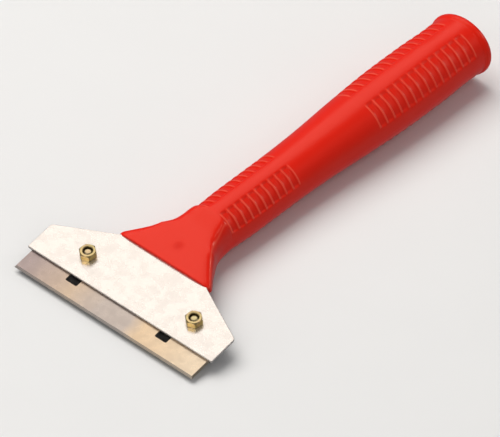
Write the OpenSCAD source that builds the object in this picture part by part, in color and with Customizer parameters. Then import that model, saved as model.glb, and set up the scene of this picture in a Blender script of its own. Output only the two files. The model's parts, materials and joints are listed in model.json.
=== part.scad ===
// Floor scraper: a steel head plate with a clamped cross blade, on a bent-down moulded handle.
// The head is drawn flat: X along the cutting edge, Y towards the handle, Z out of the nut side,
// zero at the middle of the head plate's front top edge. lay_down() then rests the tool on a
// floor, on its cutting edge and the heel of its grip.

/* [Head plate] */
// Width of the head plate, along the cutting edge
plate_w = 103.6; // [102:0.2:110]
// Thickness of the head plate
plate_t = 1.2; // [1:0.1:1.6]
// Length of the head plate's straight sides, back from its front edge
plate_side = 15.4; // [14.5:0.1:17]
// Radius of the corners where the straight sides turn inwards
plate_corner_r = 2; // [1:0.5:3]
// Width of the head plate where it enters the handle
plate_neck_w = 49.8; // [46:0.2:50]
// Distance from the head plate's front edge to the handle
plate_reach = 28.9; // [28:0.1:30]

/* [Blade] */
// Length of the cutting edge
blade_w = 100; // [96:1:100]
// Depth of the blade, cutting edge to back edge
blade_d = 19.5; // [18:0.5:19.5]
// Thickness of the blade
blade_t = 1; // [0.8:0.1:1.2]
// How far the cutting edge stands out of the head plate
blade_out = 10.9; // [10:0.1:12]
// Length of the ground bevel
bevel_l = 1.1; // [0.5:0.1:2]
// Width of the blade's two notches
notch_w = 6.4; // [6:0.1:7]
// Distance from the middle of the two notches to the middle of each
notch_x = 25.2; // [20:0.1:25.4]
// How far the pair of notches sits to the right of the middle of the blade
notch_shift = 0.8; // [0:0.1:1]
// How far the notches reach past the head plate's front edge
notch_out = 3.4; // [3:0.1:4]

/* [Clamp] */
// Length of the clamp bar
bar_w = 99; // [90:0.5:100]
// Thickness of the clamp bar
bar_t = 1.6; // [1.4:0.1:1.8]
// Distance from the middle of the two clamp screws to each of them
screw_x = 29.9; // [29:0.1:32]
// How far the pair of clamp screws sits to the right of the middle of the head plate
screw_shift = 2.2; // [0:0.1:2.4]
// Distance of the clamp screws behind the head plate's front edge
screw_y = 12; // [11.5:0.1:12.5]

/* [Fasteners] */
// Thread diameter of the clamp screws
thread_d = 4; // [4:0.5:4]
// Width of the nuts across their flats
nut_af = 7; // [7:0.5:7]
// Height of the nuts
nut_h = 3.2; // [2.8:0.1:3.4]
// Turn of the nuts about their screws
nut_turn = 21; // [0:1:59]

/* [Handle] */
// Angle by which the grip bends down from the head plate
grip_bend = 11.3; // [8:0.1:14]
// Height of the moulding above the head plate
lip_h = 1.2; // [1:0.1:1.4]
// Points around each section of the moulding
grip_sides = 44; // [32:4:48]
// Diameter of the hollow in the grip
core_d = 17; // [14:0.5:17.5]

/* [Hidden] */
$fn = 48;

eps = 0.01;
slide_gap = 0.05;                    // sliding fit between the blade and what clamps it

// Heights of the stack under the head plate's top face
blade_top = -plate_t - slide_gap;
blade_low = blade_top - blade_t;
bar_top = blade_low - slide_gap;
bar_low = bar_top - bar_t;

blade_back = blade_d - blade_out;
bar_front = 1.2;
bar_back = 24;
heel_front = 19.5;
bar_inset = 2;                       // how far the bar's back edges stay inside the head plate's

hole_r = thread_d / 2 + 0.15;
shank_r = thread_d / 2 - 0.05;
screw_end = nut_h - 0.6;
neck_side = 4;
head_r = 4;
head_h = 1.6;

lug_w = notch_w - 0.4;
lug_front = -notch_out + 0.15;
lug_back = 5;
lug_h = blade_t - 0.2;
peg_r = 1.5;
peg_y = 3.2;

tang_bend_y = 40;
tang_w = 18;
tang_l = 36;
tang_hole_r = 2.5;
tang_hole_steps = [9, 26];

// Handle: its axis starts above tang level at axis_y and falls by grip_bend
axis_y = 30;
axis_z = -3.3;
grip_l = 206.5;
core_start = 80;
cap_r = 9.9;
cap_t = 2.5;
spigot_l = 10;
spigot_wall = 1.6;

// Sections of the moulding: [distance along the axis, half width, height above the axis,
// depth below it, squareness]. The first rows are the flat paddle, the rest the round grip.
SECTIONS = [
    [-1.1, 25.6, lip_h + 3.1, -0.6, 9],
    [3.2, 23.2, lip_h + 3.9, 0.8, 8],
    [8.4, 19.7, lip_h + 4.9, 2.9, 7],
    [13.5, 16.7, lip_h + 5.9, 5.4, 6],
    [18.6, 14.2, lip_h + 6.9, 7.5, 4.6],
    [23.7, 12.7, lip_h + 7.9, 9.2, 3.4],
    [28.8, 12.2, lip_h + 9.4, 10.4, 2.5],
    [34, 12.4, 11.6, 11.1, 2],
    [50, 12.9, 11.6, 11.6, 2],
    [75, 12.9, 11.5, 11.5, 2],
    [100, 13.5, 12.0, 12.0, 2],
    [125, 15.0, 13.2, 13.2, 2],
    [150, 16.1, 14.2, 14.2, 2],
    [175, 16.2, 14.3, 14.3, 2],
    [192, 15.7, 13.9, 13.9, 2],
    [198, 15.8, 14.0, 14.0, 2],
    [202, 16.6, 14.7, 14.7, 2]
];
SECTION_STEPS = 3;
END_ROUND = 3;                       // radius of the rounded end of the grip

// Catmull-Rom value of column c between section rows i and i + 1
function row(i) = SECTIONS[min(max(i, 0), len(SECTIONS) - 1)];
function blend4(a, b, c, d, t) =
    b + 0.5 * t * (c - a + t * (2 * a - 5 * b + 4 * c - d + t * (3 * (b - c) + d - a)));
function between(i, c, t) = blend4(row(i - 1)[c], row(i)[c], row(i + 1)[c], row(i + 2)[c], t);
function along(i, t) = row(i)[0] + t * (row(i + 1)[0] - row(i)[0]);

body_rows = [for (i = [0 : len(SECTIONS) - 2], k = [0 : SECTION_STEPS - 1])
    let (t = k / SECTION_STEPS)
    [along(i, t), between(i, 1, t), between(i, 2, t), between(i, 3, t), between(i, 4, t)]];
last_row = row(len(SECTIONS) - 1);
end_rows = [for (a = [0 : 22.5 : 90])
    let (back = END_ROUND * sin(a), inset = END_ROUND * (1 - cos(a)))
    [grip_l - END_ROUND + back, last_row[1] - inset, last_row[2] - inset, last_row[3] - inset, 2]];
rows = concat(body_rows, end_rows);

// The paddle's sections stand square to the head plate, the grip's square to the axis
function smooth(t) = let (u = min(max(t, 0), 1)) u * u * (3 - 2 * u);
function lean(s) = grip_bend * smooth((s - 10) / 20);
function power(v, q) = sign(v) * pow(abs(v), q);
function ring_point(r, a) =
    let (q = 2 / r[4], x = r[1] * power(cos(a), q), z = (sin(a) < 0 ? r[3] : r[2]) * power(sin(a), q))
    [x,
     axis_y + r[0] * cos(grip_bend) + z * sin(lean(r[0])),
     axis_z - r[0] * sin(grip_bend) + z * cos(lean(r[0]))];
moulding_points = [for (r = rows, k = [0 : grip_sides - 1]) ring_point(r, 360 * (k + 0.5) / grip_sides)];

// The tool lies on the heel behind its paddle and on the end of its grip, either side of where it
// balances. Of all pairs of low points, those two hold the lowest line under the balance point.
balance_y = 84;
low_points = [for (i = [0 : len(rows) - 1]) moulding_points[i * grip_sides + floor(grip_sides * 0.75)]];
function height_between(p, q) = p[2] + (q[2] - p[2]) * (balance_y - p[1]) / (q[1] - p[1]);
rest_pairs = [for (p = low_points, q = low_points)
    if (p[1] < balance_y && q[1] > balance_y) [height_between(p, q), atan2(p[2] - q[2], q[1] - p[1])]];
rest_height = min([for (r = rest_pairs) r[0]]);
rest_tilt = [for (r = rest_pairs) if (r[0] == rest_height) r[1]][0];
function laid_y(p) = p[1] * cos(rest_tilt) - p[2] * sin(rest_tilt);
function laid_z(p) = p[1] * sin(rest_tilt) + p[2] * cos(rest_tilt);
edge_y = -blade_out;
lowest = min([for (p = moulding_points) laid_z(p)]);
middle_y = (laid_y([0, edge_y, blade_low]) + max([for (p = moulding_points) laid_y(p)])) / 2;

module lay_down() {
    translate([0, -middle_y, -lowest]) rotate([rest_tilt, 0, 0]) children();
}

module along_grip(s) {
    translate([0, axis_y, axis_z]) rotate([-grip_bend, 0, 0]) translate([0, s, 0]) children();
}

// A disc or bar of length l that runs back along the grip's axis
module grip_cylinder(r, s, l) {
    along_grip(s) rotate([-90, 0, 0]) cylinder(r = r, h = l);
}

function mirrored(points) = [for (i = [len(points) - 1 : -1 : 0]) [-points[i][0], points[i][1]]];

// Right half of the head plate's outline, front to back, with its corner turned by an arc
taper_angle = atan2(plate_reach - plate_side, (plate_w - plate_neck_w) / 2);
corner_turn = 90 - taper_angle;
corner_back = plate_corner_r * tan(corner_turn / 2);
plate_half = concat(
    [[plate_w / 2, 0]],
    [for (k = [0 : 4]) let (a = corner_turn * k / 4)
        [plate_w / 2 - plate_corner_r * (1 - cos(a)), plate_side - corner_back + plate_corner_r * sin(a)]],
    [[plate_neck_w / 2, plate_reach], [plate_neck_w / 2 - 7, plate_reach + 5],
     [tang_w / 2, plate_reach + 5], [tang_w / 2, tang_bend_y]]);

// Right half of the clamp bar's outline, kept under the head plate
function plate_half_at(y) = plate_w / 2 - (y - plate_side) / tan(taper_angle);
bar_half = [
    [bar_w / 2, bar_front],
    [bar_w / 2, plate_side + (plate_w / 2 - bar_inset - bar_w / 2) * tan(taper_angle)],
    [plate_half_at(bar_back) - bar_inset, bar_back]];
heel_half = plate_half_at(bar_back) - bar_inset;

module head_plate_flat() {
    translate([0, 0, -plate_t]) linear_extrude(plate_t) polygon(concat(plate_half, mirrored(plate_half)));
}

module tang() {
    translate([0, tang_bend_y, -plate_t]) rotate([-grip_bend, 0, 0]) difference() {
        translate([-tang_w / 2, -eps, 0]) cube([tang_w, tang_l, plate_t]);
        for (y = tang_hole_steps) translate([0, y, -1]) cylinder(r = tang_hole_r, h = plate_t + 2);
    }
}

module head_plate_solid() {
    head_plate_flat();
    tang();
}

module at_notch(side) {
    translate([notch_shift + side * notch_x, 0, 0]) children();
}

module at_screw(side) {
    translate([screw_shift + side * screw_x, screw_y, 0]) children();
}

module moulding() {
    n = grip_sides;
    last = len(rows) - 1;
    sides = [for (i = [0 : last - 1], k = [0 : n - 1])
        let (a = i * n + k, b = i * n + (k + 1) % n) [a, b, b + n, a + n]];
    front = [[for (k = [n - 1 : -1 : 0]) k]];
    back = [[for (k = [0 : n - 1]) last * n + k]];
    polyhedron(points = moulding_points, faces = concat(sides, front, back), convexity = 4);
}

module handle() {
    color("red") lay_down() difference() {
        moulding();
        head_plate_solid();
        grip_cylinder(core_d / 2, core_start, grip_l - core_start + 1);
        grip_cylinder(cap_r, grip_l - cap_t, cap_t + 1);
    }
}

module end_plug() {
    color("firebrick") lay_down() {
        difference() {
            union() {
                grip_cylinder(cap_r - slide_gap, grip_l - cap_t, cap_t);
                grip_cylinder(core_d / 2 - slide_gap, grip_l - cap_t - spigot_l, spigot_l + eps);
            }
            grip_cylinder(core_d / 2 - spigot_wall, grip_l - cap_t - spigot_l - 1, spigot_l + 1);
        }
    }
}

module head_plate() {
    color("whitesmoke") lay_down() difference() {
        head_plate_solid();
        for (side = [-1, 1]) at_screw(side) translate([0, 0, -plate_t - 1]) cylinder(r = hole_r, h = plate_t + 2);
    }
}

module blade() {
    color("tan") lay_down() difference() {
        rotate([90, 0, 90]) translate([0, 0, -blade_w / 2]) linear_extrude(blade_w) polygon([
            [edge_y, blade_low], [edge_y + bevel_l, blade_top], [blade_back, blade_top], [blade_back, blade_low]]);
        for (side = [-1, 1]) at_notch(side) translate([-notch_w / 2, -notch_out, blade_low - 1])
            cube([notch_w, blade_back + notch_out + 1, blade_t + 2]);
    }
}

module clamp_bar() {
    color("dimgray") lay_down() difference() {
        union() {
            translate([0, 0, bar_low]) linear_extrude(bar_t) polygon(concat(bar_half, mirrored(bar_half)));
            translate([-heel_half, heel_front, bar_low])
                cube([2 * heel_half, bar_back - heel_front, -plate_t - slide_gap - bar_low]);
        }
        for (side = [-1, 1]) {
            at_notch(side) translate([0, peg_y, bar_low - 1]) cylinder(r = peg_r + slide_gap, h = bar_t + 2);
            at_screw(side) translate([0, 0, bar_low + bar_t / 2])
                cube([neck_side + 0.1, neck_side + 0.1, bar_t + 2], center = true);
        }
    }
}

module lug(side) {
    color("black") lay_down() at_notch(side) {
        translate([-lug_w / 2, lug_front, bar_top]) cube([lug_w, lug_back - lug_front, lug_h]);
        translate([0, peg_y, bar_low]) cylinder(r = peg_r, h = bar_t + eps);
    }
}

module lug_left() { lug(-1); }
module lug_right() { lug(1); }

module screw(side) {
    color("goldenrod") lay_down() at_screw(side) {
        intersection() {
            translate([0, 0, bar_low - head_h]) cylinder(r = head_r, h = head_h);
            translate([0, 0, bar_low - head_h + 6.4]) sphere(r = 6.4);
        }
        translate([0, 0, bar_low + bar_t / 2]) cube([neck_side, neck_side, bar_t + eps], center = true);
        translate([0, 0, bar_top - eps]) cylinder(r = shank_r, h = screw_end - bar_top);
    }
}

module screw_left() { screw(-1); }
module screw_right() { screw(1); }

module nut(side) {
    color("gold") lay_down() at_screw(side) difference() {
        translate([0, 0, slide_gap]) rotate([0, 0, nut_turn]) intersection() {
            cylinder(d = nut_af / cos(30), h = nut_h, $fn = 6);
            translate([0, 0, -0.5]) cylinder(r1 = nut_af / 2 + 1, r2 = nut_af / 2 + 0.05, h = nut_h + 0.5);
        }
        translate([0, 0, -1]) cylinder(d = thread_d, h = nut_h + 2);
    }
}

module nut_left() { nut(-1); }
module nut_right() { nut(1); }

handle();
end_plug();
head_plate();
blade();
clamp_bar();
lug_left();
lug_right();
screw_left();
screw_right();
nut_left();
nut_right();
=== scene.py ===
"""Visual model of a hand floor scraper: clamped blade, steel head plate and ribbed red grip."""

import json
import logging
import math
from collections.abc import Callable, Sequence
from dataclasses import dataclass, field
from enum import Enum

import bmesh
import bpy
import numpy as np
from mathutils import Matrix, Vector
from mathutils.geometry import tessellate_polygon


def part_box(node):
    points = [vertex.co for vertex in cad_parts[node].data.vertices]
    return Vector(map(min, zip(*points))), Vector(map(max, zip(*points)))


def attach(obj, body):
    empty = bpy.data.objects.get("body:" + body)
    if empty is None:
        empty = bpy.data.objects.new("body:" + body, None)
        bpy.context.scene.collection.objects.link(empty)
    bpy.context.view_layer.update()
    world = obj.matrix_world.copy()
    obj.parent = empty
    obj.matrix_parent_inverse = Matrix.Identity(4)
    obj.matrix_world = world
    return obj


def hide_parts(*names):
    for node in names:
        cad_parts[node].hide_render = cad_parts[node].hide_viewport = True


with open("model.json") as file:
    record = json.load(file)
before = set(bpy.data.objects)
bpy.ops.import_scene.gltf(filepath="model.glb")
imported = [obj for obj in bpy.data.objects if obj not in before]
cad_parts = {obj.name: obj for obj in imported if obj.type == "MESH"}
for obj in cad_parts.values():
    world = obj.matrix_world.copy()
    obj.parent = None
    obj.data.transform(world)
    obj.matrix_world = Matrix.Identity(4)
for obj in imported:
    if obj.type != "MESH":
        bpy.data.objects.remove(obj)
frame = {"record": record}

LOG = logging.getLogger("floor_scraper")
MM = 0.001

Loop = list[tuple[float, float]]
Faces = list[tuple[int, ...]]


class Side(Enum):
    """The two sides of the head, seen with the nuts up and the blade in front."""

    LEFT = -1
    RIGHT = 1


class Slot(Enum):
    """The record's material slots."""

    RED_PLASTIC = "red_plastic"
    PLUG_PLASTIC = "plug_plastic"
    PLATE_STEEL = "plate_steel"
    BLADE_STEEL = "blade_steel"
    BAR_STEEL = "bar_steel"
    LUG_STEEL = "lug_steel"
    YELLOW_ZINC = "yellow_zinc"


class Coat(Enum):
    """How a black part was blackened."""

    OXIDE = "oxide"
    LACQUER = "lacquer"


@dataclass(frozen=True)
class Pair:
    """Places of two like parts, one on each side of the head, in head millimetres."""

    shift: float
    apart: float
    v: float

    def u(self, side: Side) -> float:
        """Place along the head of the one on a side."""
        return self.shift + side.value * self.apart


SCREWS = Pair(2.2, 29.9, 12.0)
LUGS = Pair(0.8, 25.2, 3.2)


# ---------------------------------------------------------------- working frame


@dataclass(frozen=True)
class HeadFrame:
    """Flat working frame of the head, in millimetres: u along the edge, v back, n out of the nuts."""

    origin: Vector
    across: Vector
    back: Vector
    up: Vector

    @classmethod
    def from_record(cls, record: dict) -> "HeadFrame":
        """Reads the frame from the two slides of the record and the blade's cutting edge.

        Args:
            record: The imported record.

        Returns:
            The working frame, its zero in the middle of the head plate's front top edge.
        """
        axes = {j["name"]: Vector(j["axis"]).normalized() for j in record["behaviour"]["joints"]}
        up, back = -axes["clamp_drop"], -axes["blade_slide"]
        low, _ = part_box("blade")
        edge = Vector((0.0, low.y, low.z))
        origin = edge + back * (Blade.out * MM) + up * (-Blade.low * MM)
        return cls(origin, Vector((1, 0, 0)), back, up)

    def place(self, points: np.ndarray) -> np.ndarray:
        """Turns head points in millimetres into metres in the shared frame.

        Args:
            points: An array whose last axis holds u, v and n.

        Returns:
            An array of the same shape, in metres.
        """
        basis = np.array([self.across, self.back, self.up])
        return points @ basis * MM + np.array(self.origin)

    def direction(self, u: float, v: float, n: float) -> Vector:
        """A direction given in the head frame, as a unit vector of the shared frame."""
        return (self.across * u + self.back * v + self.up * n).normalized()


@dataclass(frozen=True)
class GripLine:
    """Straight axis of the grip, which bends down from the plane of the head plate."""

    start_v: float = 30.0
    start_n: float = -3.3
    bend: float = math.radians(11.3)
    length: float = 206.5

    def points(self, s: np.ndarray, x: np.ndarray, z: np.ndarray, lean: np.ndarray) -> np.ndarray:
        """Head points at distances s along the axis, x across and z up, leaning back by lean."""
        v = self.start_v + s * math.cos(self.bend) + z * np.sin(lean)
        n = self.start_n - s * math.sin(self.bend) + z * np.cos(lean)
        return np.stack(np.broadcast_arrays(x, v, n), axis=-1)


# ---------------------------------------------------------------- meshes


def smooth(value: np.ndarray | float) -> np.ndarray | float:
    """Smooth step of a value clipped to 0 and 1."""
    t = np.clip(value, 0.0, 1.0)
    return t * t * (3 - 2 * t)


def soft_min(a: np.ndarray, b: np.ndarray, blend: float) -> np.ndarray:
    """The smaller of two heights, with the line where they cross rounded over.

    Args:
        a: First heights.
        b: Second heights.
        blend: Width of the rounding.

    Returns:
        Heights a little under the smaller one near the crossing.
    """
    return 0.5 * (a + b - np.sqrt((a - b) ** 2 + blend**2))


@dataclass
class Shape:
    """Points and faces gathered from several closed bodies of one piece."""

    points: list[np.ndarray] = field(default_factory=list)
    faces: Faces = field(default_factory=list)
    marks: dict[str, list[np.ndarray]] = field(default_factory=dict)

    def count(self) -> int:
        """How many points there are so far."""
        return sum(len(p) for p in self.points)

    def add(self, points: np.ndarray, faces: Faces, **marks: np.ndarray) -> None:
        """Adds a body.

        Args:
            points: Its points, in head millimetres.
            faces: Its faces, counted from its own first point.
            **marks: A number for each point under a name, for the finishes to read.
        """
        start = self.count()
        self.points.append(points.reshape(-1, 3))
        self.faces += [tuple(start + i for i in f) for f in faces]
        for name, values in marks.items():
            self.marks.setdefault(name, []).append(values.reshape(-1))

    def loft(self, rings: np.ndarray, caps: bool = True, loop: bool = False, **marks: np.ndarray) -> None:
        """Skins rings of equal length, one after another.

        Args:
            rings: Array of rings, points round a ring, and u v n.
            caps: Whether the first and last ring are closed with a fan.
            loop: Whether the last ring is joined to the first.
            **marks: A number for each point under a name.
        """
        count, around = rings.shape[:2]
        last = count if loop else count - 1
        a = np.arange(last)[:, None] * around + np.arange(around)[None, :]
        b = np.arange(last)[:, None] * around + np.roll(np.arange(around), -1)[None, :]
        total = count * around
        quads = np.stack([a, b, (b + around) % total, (a + around) % total], axis=-1)
        faces: Faces = [tuple(int(i) for i in q) for q in quads.reshape(-1, 4)]
        points = rings.reshape(-1, 3)
        values = {k: m.reshape(-1) for k, m in marks.items()}
        if caps:
            middles = np.stack([rings[0].mean(axis=0), rings[-1].mean(axis=0)])
            points = np.concatenate([points, middles])
            values = {k: np.concatenate([m, m[:1], m[-1:]]) for k, m in values.items()}
            end = total - around
            for k in range(around):
                after = (k + 1) % around
                faces.append((after, k, total))
                faces.append((end + k, end + after, total + 1))
        self.add(points, faces, **values)

    def slab(
        self,
        outline: Loop,
        low: float,
        high: float,
        holes: Sequence[Loop] = (),
        edge: float = 0.12,
        steps: int = 3,
        bend: Callable[[np.ndarray], np.ndarray] | None = None,
    ) -> None:
        """A piece cut from sheet, with softened edges.

        Args:
            outline: Corners of the outside, anticlockwise from above.
            low: Height of the lower face.
            high: Height of the upper face.
            holes: Corners of each hole, anticlockwise from above.
            edge: Radius of the softened edges.
            steps: Faces across each softened edge.
            bend: Moves the points once the slab is made.
        """
        loops = [np.array(outline, float)] + [np.array(h[::-1], float) for h in holes]
        turns = [math.pi / 2 * k / steps for k in range(steps + 1)]
        soft = [(edge * (1 - math.cos(t)), edge * (1 - math.sin(t))) for t in turns]
        profile = [(off, low + n) for off, n in soft[::-1]] + [(off, high - n) for off, n in soft]
        levels = [
            [np.column_stack([inset(lp, off), np.full(len(lp), n)]) for lp in loops] for off, n in profile
        ]
        sizes = [len(lp) for lp in loops]
        total = sum(sizes)
        points = np.concatenate([lp for level in levels for lp in level])
        faces: Faces = []
        for row in range(len(levels) - 1):
            first = row * total
            for size in sizes:
                for k in range(size):
                    a, b = first + k, first + (k + 1) % size
                    faces.append((a, b, b + total, a + total))
                first += size
        for level, flip in ((levels[0], True), (levels[-1], False)):
            start = 0 if flip else (len(levels) - 1) * total
            flat = tessellate_polygon([[Vector((p[0], p[1], 0)) for p in lp] for lp in level])
            corners = np.concatenate(level)
            for tri in flat:
                a, b, c = (corners[i] for i in tri)
                turned = (b[0] - a[0]) * (c[1] - a[1]) - (b[1] - a[1]) * (c[0] - a[0])
                if abs(turned) < 1e-12:
                    continue
                faces.append(tuple(start + i for i in (tri if (turned > 0) != flip else tri[::-1])))
        self.add(points if bend is None else bend(points), faces)


def inset(loop: np.ndarray, distance: float) -> np.ndarray:
    """Moves a closed line to its left by a distance, with mitred corners."""
    before, after = loop - np.roll(loop, 1, axis=0), np.roll(loop, -1, axis=0) - loop
    normals = []
    for d in (before, after):
        d = d / np.linalg.norm(d, axis=1, keepdims=True)
        normals.append(np.column_stack([-d[:, 1], d[:, 0]]))
    both = normals[0] + normals[1]
    share = 1 + np.sum(normals[0] * normals[1], axis=1, keepdims=True)
    return loop + distance * both / np.maximum(share, 0.25)


def circle(u: float, v: float, radius: float, count: int = 48) -> Loop:
    """A round hole or disc, anticlockwise."""
    turns = [2 * math.pi * k / count for k in range(count)]
    return [(u + radius * math.cos(t), v + radius * math.sin(t)) for t in turns]


def rounded_box(low: tuple[float, float], high: tuple[float, float], radius: float, steps: int = 5) -> Loop:
    """A rectangle with round corners, anticlockwise.

    Args:
        low: Its lowest u and v.
        high: Its highest u and v.
        radius: Radius of the corners.
        steps: Sides of each corner.

    Returns:
        The corners of the outline.
    """
    out: Loop = []
    places = ((high[0], high[1]), (low[0], high[1]), (low[0], low[1]), (high[0], low[1]))
    for k, (u, v) in enumerate(places):
        cu = u - radius * (1 if u == high[0] else -1)
        cv = v - radius * (1 if v == high[1] else -1)
        for j in range(steps + 1):
            t = math.pi / 2 * (k + j / steps)
            out.append((cu + radius * math.cos(t), cv + radius * math.sin(t)))
    return out


@dataclass
class Workshop:
    """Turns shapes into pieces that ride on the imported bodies."""

    head: HeadFrame
    sharp: float = 38.0

    def piece(
        self,
        name: str,
        shape: Shape,
        finish: bpy.types.Material,
        body: str,
        node: str,
        weighted: bool = True,
    ) -> bpy.types.Object:
        """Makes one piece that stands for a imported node.

        Args:
            name: Name of the piece.
            shape: Its points and faces, in head millimetres.
            finish: Its material.
            body: The body that it rides on.
            node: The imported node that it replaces.
            weighted: Whether its wide faces keep their flat shading up to their softened edges.

        Returns:
            The new object.
        """
        mesh = bpy.data.meshes.new(name)
        points = self.head.place(np.concatenate(shape.points))
        mesh.from_pydata(points.tolist(), [], shape.faces)
        for mark, values in shape.marks.items():
            layer = mesh.attributes.new(mark, "FLOAT", "POINT")
            layer.data.foreach_set("value", np.concatenate(values).astype(np.float32))
        skin = bmesh.new()
        skin.from_mesh(mesh)
        bmesh.ops.recalc_face_normals(skin, faces=skin.faces[:])
        skin.to_mesh(mesh)
        skin.free()
        mesh.polygons.foreach_set("use_smooth", [True] * len(mesh.polygons))
        mesh.update()
        mesh.set_sharp_from_angle(angle=math.radians(self.sharp))
        mesh.materials.append(finish)
        made = bpy.data.objects.new(name, mesh)
        bpy.context.scene.collection.objects.link(made)
        if weighted:
            shading = made.modifiers.new("flat_faces", "WEIGHTED_NORMAL")
            shading.keep_sharp = True
            shading.weight = 90
        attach(made, body)
        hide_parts(node)
        LOG.info("%s: %d points on %s", name, len(mesh.vertices), body)
        return made


# ---------------------------------------------------------------- shader maths


class Value:
    """Output of a shader node that takes part in Python maths."""

    def __init__(self, shader: "Shader", socket: bpy.types.NodeSocket) -> None:
        """Keeps the socket and the shader that it belongs to."""
        self.shader = shader
        self.socket = socket

    def _maths(self, operation: str, a: "Value | float", b: "Value | float") -> "Value":
        """One Math node on two numbers."""
        return self.shader.node("ShaderNodeMath", {"operation": operation}, {0: a, 1: b})

    def __add__(self, other: "Value | float") -> "Value":
        """Sum."""
        return self._maths("ADD", self, other)

    __radd__ = __add__

    def __sub__(self, other: "Value | float") -> "Value":
        """Difference."""
        return self._maths("SUBTRACT", self, other)

    def __rsub__(self, other: float) -> "Value":
        """Difference from a number."""
        return self._maths("SUBTRACT", other, self)

    def __mul__(self, other: "Value | float") -> "Value":
        """Product."""
        return self._maths("MULTIPLY", self, other)

    __rmul__ = __mul__

    def step(self, low: float, high: float) -> "Value":
        """Smooth step from 0 at low to 1 at high."""
        return self.shader.node(
            "ShaderNodeMapRange",
            {"interpolation_type": "SMOOTHSTEP"},
            {"Value": self, "From Min": low, "From Max": high},
        )

    def part(self, name: str) -> "Value":
        """The X, Y or Z of a vector."""
        return self.shader.node("ShaderNodeSeparateXYZ", {}, {0: self}, name)


class Shader:
    """A material's node tree, built from expressions."""

    def __init__(self, name: str) -> None:
        """Starts a material with an empty surface shader."""
        self.material = bpy.data.materials.new(name)
        self.material.use_nodes = True
        self.tree = self.material.node_tree
        self.surface_node = self.tree.nodes["Principled BSDF"]

    def node(
        self,
        kind: str,
        settings: dict[str, object],
        inputs: dict[str | int, object],
        output: str | int = 0,
    ) -> Value:
        """Adds a node.

        Args:
            kind: Its type.
            settings: Its properties, with a ramp's stops under "stops".
            inputs: The values or links of its sockets.
            output: The output that is returned.

        Returns:
            That output.
        """
        made = self.tree.nodes.new(kind)
        for name, setting in settings.items():
            if name == "stops":
                ramp = made.color_ramp.elements
                while len(ramp) < len(setting):
                    ramp.new(0.5)
                for stop, (place, colour) in zip(ramp, setting):
                    stop.position, stop.color = place, (*colour, 1)
            else:
                setattr(made, name, setting)
        self.fill(made, inputs)
        return Value(self, made.outputs[output])

    def fill(self, node: bpy.types.Node, inputs: dict[str | int, object]) -> None:
        """Sets or links the sockets of a node.

        Args:
            node: The node.
            inputs: A value or link for each socket, by name or number.
        """
        for name, value in inputs.items():
            socket = node.inputs[name]
            if isinstance(value, Value):
                self.tree.links.new(value.socket, socket)
            elif socket.type == "RGBA" and len(value) == 3:
                socket.default_value = (*value, 1)
            else:
                socket.default_value = value

    def place(self) -> Value:
        """The point being shaded, in millimetres of the shared frame, fixed to the piece."""
        point = self.node("ShaderNodeTexCoord", {}, {}, "Object")
        return self.node("ShaderNodeVectorMath", {"operation": "SCALE"}, {0: point, "Scale": 1000.0})

    def turned(self, point: Value, head: HeadFrame, scale: tuple[float, float, float] = (1, 1, 1)) -> Value:
        """The same point in head millimetres, stretched for a grain.

        Args:
            point: The point from place().
            head: The working frame.
            scale: How much each of u, v and n is stretched afterwards.

        Returns:
            The vector.
        """
        basis = Matrix((head.across, head.back, head.up))
        moved = basis @ (head.origin / MM)
        flat = self.node(
            "ShaderNodeMapping",
            {"vector_type": "POINT"},
            {"Vector": point, "Rotation": basis.to_euler(), "Location": -moved},
        )
        if scale == (1, 1, 1):
            return flat
        return self.node("ShaderNodeVectorMath", {"operation": "MULTIPLY"}, {0: flat, 1: scale})

    def noise(self, point: Value, scale: float, detail: float = 3.0, rough: float = 0.55) -> Value:
        """Soft noise from 0 to 1, with scale features in each millimetre."""
        inputs = {"Vector": point, "Scale": scale, "Detail": detail, "Roughness": rough}
        return self.node("ShaderNodeTexNoise", {}, inputs, "Fac")

    def mark(self, name: str) -> Value:
        """A number that the mesh holds at each of its points."""
        return self.node("ShaderNodeAttribute", {"attribute_name": name}, {}, "Fac")

    def mix(self, factor: "Value | float", a: object, b: object) -> Value:
        """Colour between a and b."""
        inputs = {"Factor": factor, 6: a, 7: b}
        return self.node("ShaderNodeMix", {"data_type": "RGBA"}, inputs, 2)

    def bump(self, height: Value, strength: float, depth: float) -> Value:
        """A normal from a height of 0 to 1 that stands for depth millimetres."""
        inputs = {"Height": height, "Strength": strength, "Distance": depth * MM}
        return self.node("ShaderNodeBump", {}, inputs)

    def surface(self, **inputs: object) -> bpy.types.Material:
        """Fills the surface shader, whose sockets are named with underscores, and ends the material."""
        self.fill(self.surface_node, {k.replace("_", " "): v for k, v in inputs.items()})
        return self.material


# ---------------------------------------------------------------- finishes


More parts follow.
